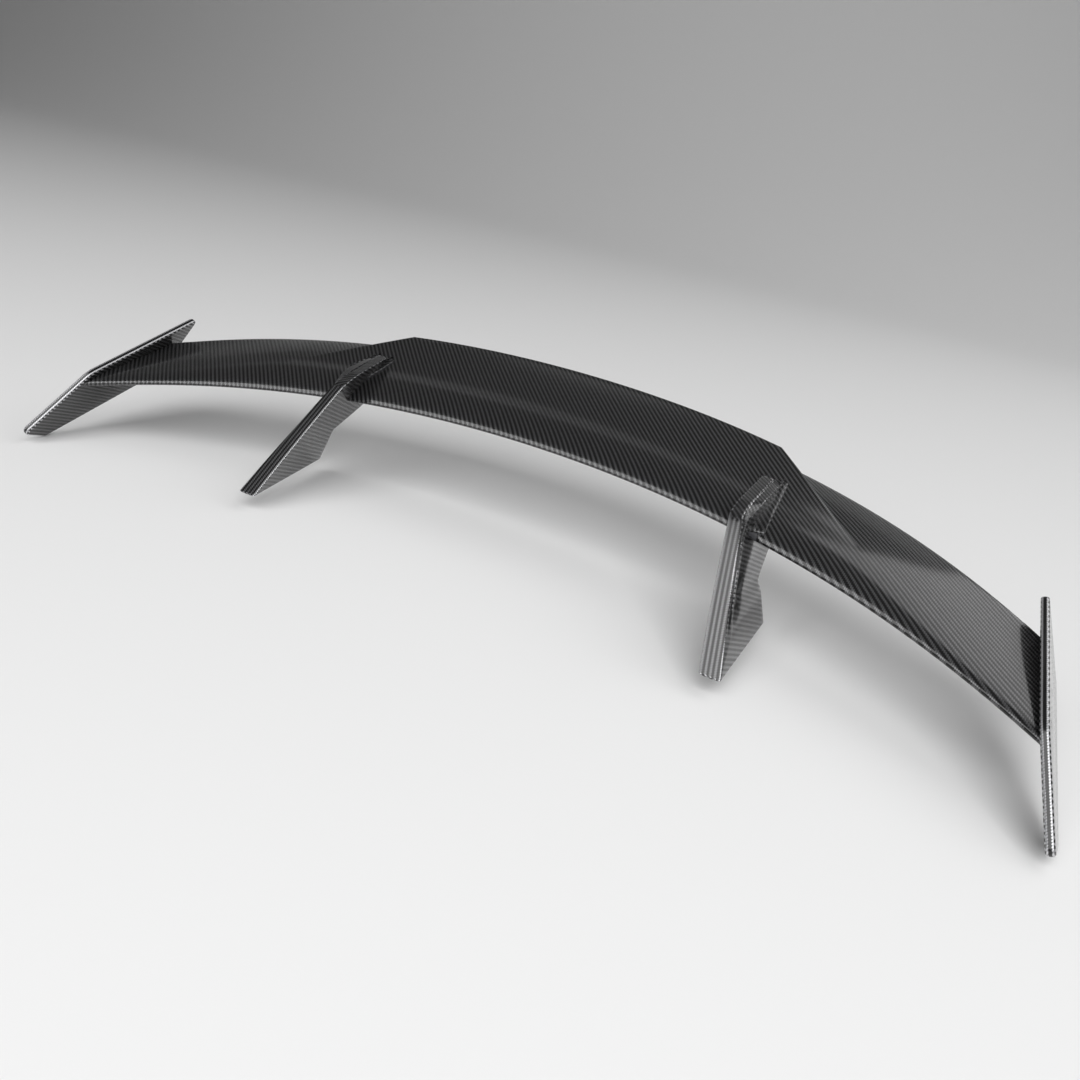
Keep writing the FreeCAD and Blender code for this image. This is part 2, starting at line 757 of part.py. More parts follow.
def screw_body():
    """Countersunk screw along -Z with its head's top at the origin, and a socket."""
    body = doc.addObject("PartDesign::Body", "plate_screw")
    sketch = body.newObject("Sketcher::SketchObject", "profile")
    sketch.AttachmentSupport = (origin_plane(body, "XZ_Plane"), [""])
    sketch.MapMode = "FlatFace"
    head = size("plate_screw_head")
    shank = size("plate_screw_radius")
    rim = size("plate_screw_rim")
    length = size("plate_thickness") + size("plate_insert_length") - size("plate_screw_short")
    cone_end = -rim - (head - shank)
    corners = [(0, 0), (head, 0), (head, -rim), (shank, cone_end), (shank, -length), (0, -length)]
    points = [Vector(x, y, 0) for x, y in corners]
    for start, end in zip(points, points[1:] + points[:1]):
        sketch.addGeometry(Part.LineSegment(start, end))
    for i in range(len(points)):
        sketch.addConstraint(Sketcher.Constraint("Coincident", i, 2, (i + 1) % len(points), 1))
    turn = body.newObject("PartDesign::Revolution", "turned")
    turn.Profile = sketch
    turn.ReferenceAxis = (sketch, ["V_Axis"])
    turn.Angle = 360
    doc.recompute()
    socket = body.newObject("Sketcher::SketchObject", "socket")
    socket.AttachmentSupport = (origin_plane(body, "XY_Plane"), [""])
    socket.MapMode = "FlatFace"
    corner = Vector(size("plate_socket"), 0, 0)
    about = Vector(0, 0, 1)
    hexagon = [FreeCAD.Rotation(about, 60 * i).multVec(corner) for i in range(6)]
    for start, end in zip(hexagon, hexagon[1:] + hexagon[:1]):
        socket.addGeometry(Part.LineSegment(start, end))
    pocket = body.newObject("PartDesign::Pocket", "drive")
    pocket.Profile = socket
    bound(pocket, Length="sizes.plate_socket_depth")
    doc.recompute()
    return body


def make_endplate():
    place = plate_placement()
    outside = plate_body("plate_form", "", "sizes.plate_thickness", "sizes.plate_rim")
    room = "sizes.plate_thickness - 2 * sizes.plate_skin"
    inside = plate_body("plate_room", "plate_skin", room, "sizes.plate_rim - sizes.plate_skin")
    bores = []
    for u, v in screw_spots():
        bore = size("plate_screw_radius") + size("plate_screw_clearance")
        head = size("plate_screw_head")
        top = size("plate_thickness")
        hole = Part.makeCylinder(bore, top + 2, Vector(u, v, -1))
        below = top - size("plate_screw_rim")
        rim = Part.makeCylinder(head, 2, Vector(u, v, below))
        sink = Part.makeCone(bore, head, head - bore, Vector(u, v, below - (head - bore)))
        bores.append(hole.fuse([sink, rim]))
    boss = size("plate_screw_head") + size("plate_boss")
    walls = [Part.makeCylinder(boss, FAR, Vector(u, v, -1)) for u, v in screw_spots()]
    core_shape = inside.Shape.cut(walls)
    shell_shape = outside.Shape.cut(core_shape).cut(bores)
    shell = shape_object("endplate_right", solid_of(shell_shape), place)
    core = shape_object("endplate_core_right", solid_of(core_shape), place)
    mirror_object(shell, "endplate_left")
    mirror_object(core, "endplate_core_left")
    return place


def place_shape(shape, place):
    placed = shape.copy()
    placed.Placement = place
    return placed


def make_tip(place):
    """Closing rib at the tip, its two threaded inserts and the endplate's screws."""
    reach = size("half_span") + 70
    wires = [filling_wire(x, NOSE, TAIL, False) for x in stations(reach - 150, reach, 5)]
    rib = loft(wires).cut(outside_plate()).common(outside_plate(size("tip_rib")))
    screw = screw_body()
    length = size("plate_insert_length")
    screws = []
    sleeves = []
    bores = []
    for u, v in screw_spots():
        bore = Part.makeCylinder(size("plate_insert_radius"), length, Vector(u, v, -length))
        bores.append(place_shape(bore, place))
        sleeve = doc.addObject("Part::Cut", "tip_insert")
        sleeve.Base = cylinder("sizes.plate_insert_radius", "sizes.plate_insert_length")
        sleeve.Tool = cylinder("sizes.plate_screw_radius", "sizes.plate_insert_length")
        sleeve.Placement = place * FreeCAD.Placement(Vector(u, v, -length), FreeCAD.Rotation())
        sleeves.append(sleeve)
        head = FreeCAD.Placement(Vector(u, v, size("plate_thickness")), FreeCAD.Rotation())
        fitted = place_shape(screw.Shape, place * head)
        screws.append(fitted)
    rib_piece = shape_object("tip_rib_right", solid_of(rib.cut(bores)))
    mirror_object(rib_piece, "tip_rib_left")
    sleeve_group = group_object(sleeves, "tip_inserts_right")
    mirror_object(sleeve_group, "tip_inserts_left")
    screw_group = shape_object("endplate_screws_right", Part.Compound(screws))
    mirror_object(screw_group, "endplate_screws_left")


NODES = [
    "blade_upper_skin",
    "blade_lower_skin",
    "blade_main_spar",
    "blade_nose_core",
    "blade_rear_core_centre",
]
PAIRED_NODES = [
    "blade_rear_core",
    "upright_hardpoint",
    "tip_rib",
    "tip_inserts",
    "upright",
    "upright_core",
    "adhesive_bed",
    "foot_plate",
    "mounting_inserts",
    "endplate",
    "endplate_core",
    "endplate_screws",
]


def check_document():
    for piece in doc.Objects:
        states = set(piece.State)
        if states & {"Invalid", "Error"}:
            raise RuntimeError("%s failed: %s" % (piece.Label, piece.State))


def export_nodes():
    names = NODES + ["%s_%s" % (name, hand) for name in PAIRED_NODES for hand in ("left", "right")]
    found = {piece.Label: piece for piece in doc.Objects}
    for name in names:
        shape = found[name].Shape
        if shape.isNull() or not shape.isValid():
            raise RuntimeError("%s has no sound shape" % name)
    os.makedirs("parts", exist_ok=True)
    for name in names:
        shape = found[name].Shape
        shape.exportStep("parts/%s.step" % name)
        box = shape.BoundBox
        print("%-28s solids %d volume %9.0f box %s" % (name, len(shape.Solids), shape.Volume, box))


make_blade()
make_upright()
make_mounting_inserts()
make_tip(make_endplate())
doc.recompute()
check_document()
export_nodes()
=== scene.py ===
"""Racing rear wing: lacquered carbon blade, swan-neck uprights and endplates on a pale studio floor.

Everything is in metres in the row frame: +X along the span, +Y rearwards, +Z up, with the
origin between the four mounting holes. The right side is made first and the left mirrors it.
"""

import math

import bpy
from mathutils import Matrix, Vector


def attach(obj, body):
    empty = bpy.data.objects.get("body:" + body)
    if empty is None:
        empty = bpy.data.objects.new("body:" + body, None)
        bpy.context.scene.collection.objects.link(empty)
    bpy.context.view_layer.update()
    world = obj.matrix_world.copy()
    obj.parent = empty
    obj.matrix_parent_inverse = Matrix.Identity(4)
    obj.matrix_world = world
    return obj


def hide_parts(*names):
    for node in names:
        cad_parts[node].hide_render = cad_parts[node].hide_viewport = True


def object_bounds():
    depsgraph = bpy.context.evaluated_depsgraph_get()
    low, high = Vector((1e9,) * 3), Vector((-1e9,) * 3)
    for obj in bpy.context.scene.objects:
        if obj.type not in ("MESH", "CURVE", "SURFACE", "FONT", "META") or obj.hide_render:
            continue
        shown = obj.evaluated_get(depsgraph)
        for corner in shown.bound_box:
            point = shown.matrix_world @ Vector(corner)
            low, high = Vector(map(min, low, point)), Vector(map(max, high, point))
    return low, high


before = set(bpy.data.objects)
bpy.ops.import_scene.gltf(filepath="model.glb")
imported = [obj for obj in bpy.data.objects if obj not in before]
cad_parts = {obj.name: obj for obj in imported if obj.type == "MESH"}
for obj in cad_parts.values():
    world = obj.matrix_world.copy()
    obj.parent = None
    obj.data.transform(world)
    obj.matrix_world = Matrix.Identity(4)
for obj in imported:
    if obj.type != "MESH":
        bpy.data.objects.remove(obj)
cad_low, cad_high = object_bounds()
bpy.ops.object.select_all(action="DESELECT")

MM = 0.001

# ---------------------------------------------------------------- driving dimensions, in millimetres

HALF_SPAN = 666.0
NOSE_Y = (139.3, -133.3, -53.0)  # leading edge: at the middle, square-law part, fourth-power part
NOSE_Z = (124.2, -57.9, -4.6)
CHORD = (170.2, 14.6, -19.0)
INCIDENCE = 18.4
WASHOUT = 4.4
THICKNESS = 18.0
TAIL_THICKNESS = 3.0
SAG = 4.5
CROWN = 9.7
DECK_RISE = 22.3
DECK_SHIFT = 4.6
DECK_CURL = 45.2
DECK_START = 0.42
DECK_HALF = 302.0
DECK_END = 441.0
STEP_WALL = 2.5
TIP_SUNK = 3.0  # how far the panels run into the endplates
DECK_MARGIN = 22.0  # the deck's rounded edges stop this far inside its end
TIP_MARGIN = 25.0  # the rear edge's rounding stops this far from the tip

FOOT_GAP = 324.1
FOOT_FRONT = -63.0
FOOT_LENGTH = 180.0
FOOT_WIDTH = 26.5
FOOT_TAIL_WIDTH = 9.5
SPINE_TOP_WIDTH = 17.0
WEB_FLARE = 3.5
LEAN = 22.2
TOE = 9.4
KNEE_LEAD = 35.0  # leading edge forward to the knee
KNEE_ABOVE = 35.3  # leading edge up to the knee
FRONT_BOW = (-2.0, 1.7)  # rearwards and up, how far the front edge stands off a straight line
SHOULDER_RUN = (33.0, 10.0)  # from the knee to where the arm straightens
SHOULDER_BOW = 0.8
ARM_REACH = 0.53  # share of the chord where the arm ends on the deck
ARM_HEIGHT = 13.5
ARM_END = 12.0
NOTCH_INSET = 4.0
NOTCH_HEIGHT = 57.0
WEB_START = 0.45  # share of the chord above the turn in the rear edge
WEB_END = 0.80  # share of the chord where the web ends under the blade
WEB_DEPTH = 52.0
WEB_BOW = (8.0, -10.0)
FLANGE_HEIGHT = 3.0
FLANGE_MARGIN = 9.0
FLANGE_FRONT = 3.0
FLANGE_REAR = 14.0
FLANGE_LIFT = 10.0  # height over the arm's end at which the rear corners' spans are read
BED = 0.4  # gap between flange and deck
LEAST_WIDTH = 4.0  # an upright is nowhere thinner than this

PLATE_CANT = 26.0
PLATE_TOE = 5.7
PLATE_THICKNESS = 9.5
PLATE_RIM = 3.2
# endplate corners in its own plane, rearwards and up from the leading edge's corner, with their rounding
PLATE_CORNERS = [(208, 81, 6), (8, 18, 38), (-84, -75, 9), (-40, -93.5, 12), (170, -22, 6)]

TOW = 2.03  # width of one tow of the 2x2 twill
SIDE_LAY = -21.0  # how the cloth is turned on the uprights' sides, in degrees
PLATE_LAY = -20.0
BIAS = 45.0


def tangent(degrees):
    return math.tan(math.radians(degrees))


# ---------------------------------------------------------------- the blade's form


def quartic(terms, u):
    return terms[0] + terms[1] * u**2 + terms[2] * u**4


def fade_out(u, start, end):
    t = min(max((abs(u) - start) / (end - start), 0.0), 1.0)
    return 1.0 - t * t * (3.0 - 2.0 * t)


def half_thickness(s):
    root = 0.2969 * math.sqrt(s) - 0.1260 * s
    tail = -0.3516 * s**2 + 0.2843 * s**3 - 0.1036 * s**4
    return THICKNESS * 5.0 * (root + tail) + TAIL_THICKNESS * s / 2


def blade_point(x, s, side, raised, proud=0.0):
    """Point of the blade's outside at span x and share s of the chord, in metres."""
    u = x / HALF_SPAN
    angle = math.radians(INCIDENCE - WASHOUT * u**4)
    along = s * quartic(CHORD, u)
    arch = CROWN * fade_out(u, DECK_END / HALF_SPAN, 0.97) - SAG
    off = arch * 4.0 * s * (1.0 - s) + side * (half_thickness(s) + proud)
    y = quartic(NOSE_Y, u) + along * math.cos(angle) - off * math.sin(angle)
    z = quartic(NOSE_Z, u) + along * math.sin(angle) + off * math.cos(angle)
    if raised and s > DECK_START:
        share = ((s - DECK_START) / (1.0 - DECK_START)) ** 1.5
        y += share * (DECK_SHIFT - DECK_CURL * u**2)
        z += share * DECK_RISE
    return Vector((x, y, z)) * MM


def step_span(s, side):
    """Span of the deck's side step at share s; the underside's step stands a wall further in."""
    if s <= DECK_START:
        return DECK_END
    rise = (s - DECK_START) / (1.0 - DECK_START)
    wall = STEP_WALL * min(1.0, 6.0 * rise) if side < 0 else 0.0
    return DECK_END - (DECK_END - DECK_HALF) * rise - wall


def plate_frame():
    """Right endplate's frame from the leading edge's corner: x rearwards, y up the plate, z outwards."""
    outward = Vector((1.0, -tangent(PLATE_TOE), tangent(PLATE_CANT))).normalized()
    along = (Vector((0, 1, 0)) - outward * outward.y).normalized()
    up = outward.cross(along)
    place = Matrix((along, up, outward)).transposed().to_4x4()
    place.translation = blade_point(HALF_SPAN, 0.0, 1, False)
    return place


PLATE = plate_frame()


def tip_span(s, side, sunk):
    """Span at which the blade has gone sunk millimetres into the endplate."""
    into = PLATE.inverted()
    x = HALF_SPAN
    for _ in range(6):
        x += sunk - (into @ blade_point(x, s, side, False)).z / MM
    return x


def section_loop(front_steps, rear_steps):
    """(share, side) pairs round the section: over the top from nose to tail, then back underneath."""
    front = [DECK_START * (k / front_steps) ** 2 for k in range(front_steps)]
    rear = [DECK_START + (1.0 - DECK_START) * k / rear_steps for k in range(rear_steps + 1)]
    top = front + rear
    return [(s, 1) for s in top] + [(s, -1) for s in reversed(top)]


# ---------------------------------------------------------------- modelling helpers


def deselect():
    bpy.ops.object.select_all(action="DESELECT")


def activate(piece):
    deselect()
    piece.select_set(True)
    bpy.context.view_layer.objects.active = piece


def grid_sheet(name, columns, rows, place):
    """A grid primitive whose vertices are laid on a surface: place(across, down) with both from 0 to 1."""
    deselect()
    bpy.ops.mesh.primitive_grid_add(x_subdivisions=columns, y_subdivisions=rows, size=1.0)
    sheet = bpy.context.object
    sheet.name = name
    for vertex in sheet.data.vertices:
        across = round((vertex.co.x + 0.5) * columns) / columns
        down = round((vertex.co.y + 0.5) * rows) / rows
        vertex.co = place(across, down)
    return sheet


def join_sheets(name, sheets):
    deselect()
    for sheet in sheets:
        sheet.select_set(True)
    bpy.context.view_layer.objects.active = sheets[0]
    bpy.ops.object.join()
    piece = bpy.context.object
    piece.name = name
    piece.data.name = name
    return piece


def close_up(piece, gap=0.00002):
    """Merges the seams, closes open ends and turns every face outwards."""
    activate(piece)
    bpy.ops.object.mode_set(mode="EDIT")
    bpy.ops.mesh.select_all(action="SELECT")
    bpy.ops.mesh.remove_doubles(threshold=gap)
    bpy.ops.mesh.dissolve_degenerate(threshold=gap)
    bpy.ops.mesh.fill_holes(sides=0)
    bpy.ops.mesh.select_all(action="SELECT")
    bpy.ops.mesh.normals_make_consistent(inside=False)
    bpy.ops.object.mode_set(mode="OBJECT")


def round_edges(piece, width, segments, wanted, angle=35.0):
    """Bevels the sharp edges whose middle is wanted; the new faces take the second material, a
    lighter-toned carbon that paints a highlight along the rounded edges.
    """
    activate(piece)
    bpy.ops.object.mode_set(mode="EDIT")
    bpy.ops.mesh.select_mode(type="EDGE")
    bpy.ops.mesh.select_all(action="DESELECT")
    bpy.ops.mesh.edges_select_sharp(sharpness=math.radians(angle))
    bpy.ops.object.mode_set(mode="OBJECT")
    points = piece.data.vertices
    for edge in piece.data.edges:
        middle = (points[edge.vertices[0]].co + points[edge.vertices[1]].co) / 2
        edge.select = edge.select and wanted(middle)
    bpy.ops.object.mode_set(mode="EDIT")
    bpy.ops.mesh.bevel(offset=width * MM, segments=segments, profile=0.5, material=1, clamp_overlap=False)
    bpy.ops.object.mode_set(mode="OBJECT")


def lay_cloth(piece, rule):
    """Writes the cloth's own coordinates, in metres, to the UV map: rule(place, normal) gives them."""
    layer = piece.data.uv_layers.get("cloth") or piece.data.uv_layers.new(name="cloth")
    for face in piece.data.polygons:
        for corner in face.loop_indices:
            place = piece.data.vertices[piece.data.loops[corner].vertex_index].co
            layer.data[corner].uv = rule(place, face.normal)
    for other in [old for old in piece.data.uv_layers if old.name != "cloth"]:
        piece.data.uv_layers.remove(other)


def smooth(piece, angle=32.0):
    activate(piece)
    bpy.ops.object.shade_smooth_by_angle(angle=math.radians(angle))


def dress(piece, *materials):
    piece.data.materials.clear()
    for material in materials:
        piece.data.materials.append(material)


def turned(across, along, degrees):
    """Cloth coordinates turned by an angle."""
    c = math.cos(math.radians(degrees))
    s = math.sin(math.radians(degrees))
    return (across * c - along * s, across * s + along * c)


def mirror_copy(piece, name):
    """The left-hand twin: its own mesh, mirrored across the middle and turned the right way out."""
    activate(piece)
    bpy.ops.object.duplicate()
    twin = bpy.context.object
    twin.name = name
    twin.data.name = name
    twin.data.transform(Matrix.Scale(-1.0, 4, (1, 0, 0)))
    twin.data.flip_normals()
    return twin


def settle(piece, slot, *nodes):
    """The piece rides on the wing and stands in for its CAD nodes, which are hidden."""
    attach(piece, "root")
    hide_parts(*nodes)


# ---------------------------------------------------------------- materials


def add_node(tree, kind, **settings):
    node = tree.nodes.new(kind)
    for name, value in settings.items():
        setattr(node, name, value)
    return node


def feed(tree, socket, value):
    if isinstance(value, bpy.types.NodeSocket):
        tree.links.new(value, socket)
    else:
        socket.default_value = value


def calc(tree, operation, *values):
    node = add_node(tree, "ShaderNodeMath", operation=operation)
    for socket, value in zip(node.inputs, values):
        feed(tree, socket, value)
    return node.outputs[0]


def blend_value(tree, share, low, high):
    node = add_node(tree, "ShaderNodeMix", data_type="FLOAT")
    feed(tree, node.inputs["Factor"], share)
    feed(tree, node.inputs["A"], low)
    feed(tree, node.inputs["B"], high)
    return node.outputs["Result"]


def tow_arch(tree, across, along):
    """Height of one tow: round across its width and bowed along the two cells it floats over."""
    swell = calc(tree, "SINE", calc(tree, "MULTIPLY", across, math.pi))
    bow = calc(tree, "SINE", calc(tree, "MULTIPLY", along, math.pi))
    crown = calc(tree, "POWER", calc(tree, "MAXIMUM", swell, 0.0), 0.45)
    return calc(tree, "MULTIPLY", crown, calc(tree, "MULTIPLY_ADD", bow, 0.45, 0.55))


def twill_group():
    """2x2 twill: which tow is on top, how high it stands, and its fibre streaks."""
    tree = bpy.data.node_groups.new("twill_weave", "ShaderNodeTree")
    tree.interface.new_socket("Cloth", in_out="INPUT", socket_type="NodeSocketVector")
    tree.interface.new_socket("Tows per metre", in_out="INPUT", socket_type="NodeSocketFloat")
    for name in ("Warp on top", "Height", "Streaks"):
        tree.interface.new_socket(name, in_out="OUTPUT", socket_type="NodeSocketFloat")
    source = add_node(tree, "NodeGroupInput")
    target = add_node(tree, "NodeGroupOutput")
    scaled = add_node(tree, "ShaderNodeVectorMath", operation="SCALE")
    tree.links.new(source.outputs["Cloth"], scaled.inputs[0])
    tree.links.new(source.outputs["Tows per metre"], scaled.inputs["Scale"])
    apart = add_node(tree, "ShaderNodeSeparateXYZ")
    tree.links.new(scaled.outputs[0], apart.inputs[0])
    across, along = apart.outputs["X"], apart.outputs["Y"]
    column = calc(tree, "FLOOR", across)
    row = calc(tree, "FLOOR", along)
    turn = calc(tree, "FLOORED_MODULO", calc(tree, "ADD", column, row), 4.0)
    warp_up = calc(tree, "LESS_THAN", turn, 1.5)
    warp_run = calc(tree, "FLOORED_MODULO", calc(tree, "ADD", column, along), 4.0)
    weft_run = calc(tree, "FLOORED_MODULO", calc(tree, "ADD", across, row), 4.0)
    warp = tow_arch(tree, calc(tree, "FRACT", across), calc(tree, "MULTIPLY", warp_run, 0.5))
    weft_along = calc(tree, "MULTIPLY", calc(tree, "SUBTRACT", weft_run, 2.0), 0.5)
    weft = tow_arch(tree, calc(tree, "FRACT", along), weft_along)
    height = blend_value(tree, warp_up, weft, warp)
    streaks = []
    for stretch in ((9.0, 0.35, 1.0), (0.35, 9.0, 1.0)):
        thin = add_node(tree, "ShaderNodeVectorMath", operation="MULTIPLY")
        tree.links.new(scaled.outputs[0], thin.inputs[0])
        thin.inputs[1].default_value = stretch
        noise = add_node(tree, "ShaderNodeTexNoise")
        noise.inputs["Scale"].default_value = 1.0
        noise.inputs["Detail"].default_value = 2.0
        tree.links.new(thin.outputs[0], noise.inputs["Vector"])
        streaks.append(noise.outputs["Fac"])
    streak = blend_value(tree, warp_up, streaks[1], streaks[0])
    tree.links.new(warp_up, target.inputs["Warp on top"])
    tree.links.new(height, target.inputs["Height"])
    tree.links.new(streak, target.inputs["Streaks"])
    return tree


TWILL = twill_group()


def principled(name):
    material = bpy.data.materials.new(name)
    material.use_nodes = True
    return material, material.node_tree, material.node_tree.nodes["Principled BSDF"]


def colour_mix(tree, share, low, high):
    node = add_node(tree, "ShaderNodeMix", data_type="RGBA")
    feed(tree, node.inputs["Factor"], share)
    feed(tree, node.inputs[6], low)
    feed(tree, node.inputs[7], high)
    return node.outputs[2]


def grey(value):
    return (value, value, value * 1.03, 1.0)


def carbon(name, by_object, dark, light, relief):
    """Lacquered twill under a clear coat; the warp tows are painted lighter than the weft as a painted
    sheen, and the tows' low parts are darkened as painted shade. by_object reads the cloth flat in plan.
    """
    material, tree, shader = principled(name)
    source = add_node(tree, "ShaderNodeTexCoord")
    twill = add_node(tree, "ShaderNodeGroup", node_tree=TWILL)
    tree.links.new(source.outputs["Object" if by_object else "UV"], twill.inputs["Cloth"])
    twill.inputs["Tows per metre"].default_value = 1.0 / (TOW * MM)
    # painted sheen: tows with the warp on top get the light value and the others the dark one, standing in
    # for the fibres' direction-dependent reflection
    tows = colour_mix(tree, twill.outputs["Warp on top"], grey(dark), grey(light))
    streak = calc(tree, "MULTIPLY_ADD", twill.outputs["Streaks"], 0.9, 0.55)
    # painted shade: the base colour darkens where the tows sink, at their edges and in the gaps between
    # them
    depth = calc(tree, "MULTIPLY_ADD", twill.outputs["Height"], 0.75, 0.25)
    shade = calc(tree, "MULTIPLY", streak, depth)
    tinted = add_node(tree, "ShaderNodeMix", data_type="RGBA", blend_type="MULTIPLY")
    tinted.inputs["Factor"].default_value = 1.0
    tree.links.new(tows, tinted.inputs[6])
    tree.links.new(shade, tinted.inputs[7])
    tree.links.new(tinted.outputs[2], shader.inputs["Base Color"])
    rough = blend_value(tree, twill.outputs["Warp on top"], 0.6, 0.3)
    tree.links.new(rough, shader.inputs["Roughness"])
    bump = add_node(tree, "ShaderNodeBump")
    bump.inputs["Strength"].default_value = relief
    bump.inputs["Distance"].default_value = 0.25 * MM
    tree.links.new(twill.outputs["Height"], bump.inputs["Height"])
    tree.links.new(bump.outputs["Normal"], shader.inputs["Normal"])
    shader.inputs["Metallic"].default_value = 0.7
    shader.inputs["Specular IOR Level"].default_value = 0.25
    shader.inputs["Coat Weight"].default_value = 1.0
    shader.inputs["Coat Roughness"].default_value = 0.12
    shader.inputs["Coat IOR"].default_value = 1.5
    return material


def plain(name, colour, metallic, roughness, grain, scale, stretch=(1.0, 1.0, 1.0), relief=0.15):
    """Solid stuff with a fine grain in its colour, roughness and surface."""
    material, tree, shader = principled(name)
    source = add_node(tree, "ShaderNodeTexCoord")
    mapping = add_node(tree, "ShaderNodeMapping")
    mapping.inputs["Scale"].default_value = stretch
    tree.links.new(source.outputs["Object"], mapping.inputs["Vector"])
    noise = add_node(tree, "ShaderNodeTexNoise")
    noise.inputs["Scale"].default_value = scale
    noise.inputs["Detail"].default_value = 5.0
    tree.links.new(mapping.outputs[0], noise.inputs["Vector"])
    low = tuple(part * (1.0 - grain) for part in colour) + (1.0,)
    high = tuple(min(part * (1.0 + grain), 1.0) for part in colour) + (1.0,)
    tree.links.new(colour_mix(tree, noise.outputs["Fac"], low, high), shader.inputs["Base Color"])
    tree.links.new(
        blend_value(tree, noise.outputs["Fac"], roughness * 0.8, min(roughness * 1.2, 1.0)),
        shader.inputs["Roughness"],
    )
    bump = add_node(tree, "ShaderNodeBump")
    bump.inputs["Strength"].default_value = relief
    bump.inputs["Distance"].default_value = 0.1 * MM
    tree.links.new(noise.outputs["Fac"], bump.inputs["Height"])
    tree.links.new(bump.outputs["Normal"], shader.inputs["Normal"])
    shader.inputs["Metallic"].default_value = metallic
    return material


blade_carbon = carbon("blade_carbon", True, 0.005, 0.10, 0.9)
side_carbon = carbon("side_carbon", False, 0.010, 0.11, 0.4)
# the two edge materials have far lighter tows than the faces beside them: a painted highlight on the
# bevelled edges that take them
edge_highlight_carbon = carbon("edge_highlight_carbon", False, 0.012, 0.6, 1.0)
blade_edge_highlight_carbon = carbon("blade_edge_highlight_carbon", True, 0.006, 0.25, 1.0)
foam = plain("foam", (0.86, 0.82, 0.68), 0.0, 0.85, 0.12, 900.0, relief=0.5)
raw_carbon = carbon("raw_carbon", True, 0.03, 0.08, 0.8)
aluminium = plain("aluminium", (0.78, 0.79, 0.80), 1.0, 0.34, 0.08, 700.0, (1.0, 12.0, 1.0))
steel = plain("steel", (0.55, 0.55, 0.56), 1.0, 0.28, 0.1, 900.0, (1.0, 1.0, 14.0))
black_steel = plain("black_steel", (0.045, 0.045, 0.05), 0.9, 0.38, 0.2, 1200.0)
adhesive = plain("adhesive", (0.05, 0.05, 0.055), 0.0, 0.35, 0.2, 300.0)

# ---------------------------------------------------------------- blade


def make_blade():
    """The blade's whole outside: a raised deck between two side steps, and a plain panel each side."""
    loop = section_loop(16, 14)
    rows = len(loop)

    def middle(across, down):
        s, side = loop[round(down * rows) % rows]
        return blade_point((2.0 * across - 1.0) * step_span(s, side), s, side, True)

    sheets = [grid_sheet("deck", 96, rows, middle)]
    for hand in (1, -1):

        def panel(across, down):
            s, side = loop[round(down * rows) % rows]
            start = step_span(s, side)
            x = start + (tip_span(s, side, TIP_SUNK) - start) * across
            point = blade_point(x, s, side, False)
            return Vector((hand * point.x, point.y, point.z))

        def step(across, down):
            s, side = loop[round(down * rows) % rows]
            point = blade_point(step_span(s, side), s, side, across < 0.5)
            return Vector((hand * point.x, point.y, point.z))

        sheets.append(grid_sheet("panel", 44, rows, panel))
        sheets.append(grid_sheet("step", 1, rows, step))
    blade = join_sheets("blade_shell", sheets)
    close_up(blade)
    dress(blade, blade_carbon, blade_edge_highlight_carbon)
    inner = (DECK_END - DECK_MARGIN) * MM
    outer = (HALF_SPAN - TIP_MARGIN) * MM

    def wanted(place):
        reach = abs(place.x)
        behind = place.y > blade_point(place.x / MM, 0.9, 1, False).y
        return reach < inner or (behind and reach < outer)

    round_edges(blade, 0.7, 2, wanted)
    lay_cloth(blade, lambda place, normal: (place.x, place.y))
    smooth(blade)
    settle(blade, "gloss_carbon", "blade_upper_skin", "blade_lower_skin")
    return blade


# ---------------------------------------------------------------- uprights


def inner_face(y, z):
    """Span of an upright's inner face."""
    return FOOT_GAP + tangent(TOE) * (y - FOOT_FRONT) - tangent(LEAN) * z


def knee_height():
    return blade_point(FOOT_GAP, 0.0, 1, False).z / MM + KNEE_ABOVE


def spine_face(y, z):
    narrowing = (FOOT_WIDTH - SPINE_TOP_WIDTH) * z / knee_height()
    return inner_face(y, z) + FOOT_WIDTH - narrowing


def web_face(y, z):
    narrowing = (FOOT_WIDTH - FOOT_TAIL_WIDTH) * (y - FOOT_FRONT) / FOOT_LENGTH
    return inner_face(y, z) + FOOT_WIDTH - narrowing + tangent(WEB_FLARE) * z


def arm_span():
    nose = blade_point(FOOT_GAP, 0.0, 1, False) / MM
    return (inner_face(nose.y, nose.z) + spine_face(nose.y, nose.z)) / 2


def path_point(stops, share):
    """Point at a share of a path of (share, y, z, bow y, bow z) stops; a bow curves the run before it."""
    for before, after in zip(stops, stops[1:]):
        if share <= after[0]:
            t = (share - before[0]) / (after[0] - before[0])
            lift = 4.0 * t * (1.0 - t)
            y = before[1] + (after[1] - before[1]) * t + lift * after[3]
            z = before[2] + (after[2] - before[2]) * t + lift * after[4]
            return y, z
    return stops[-1][1], stops[-1][2]


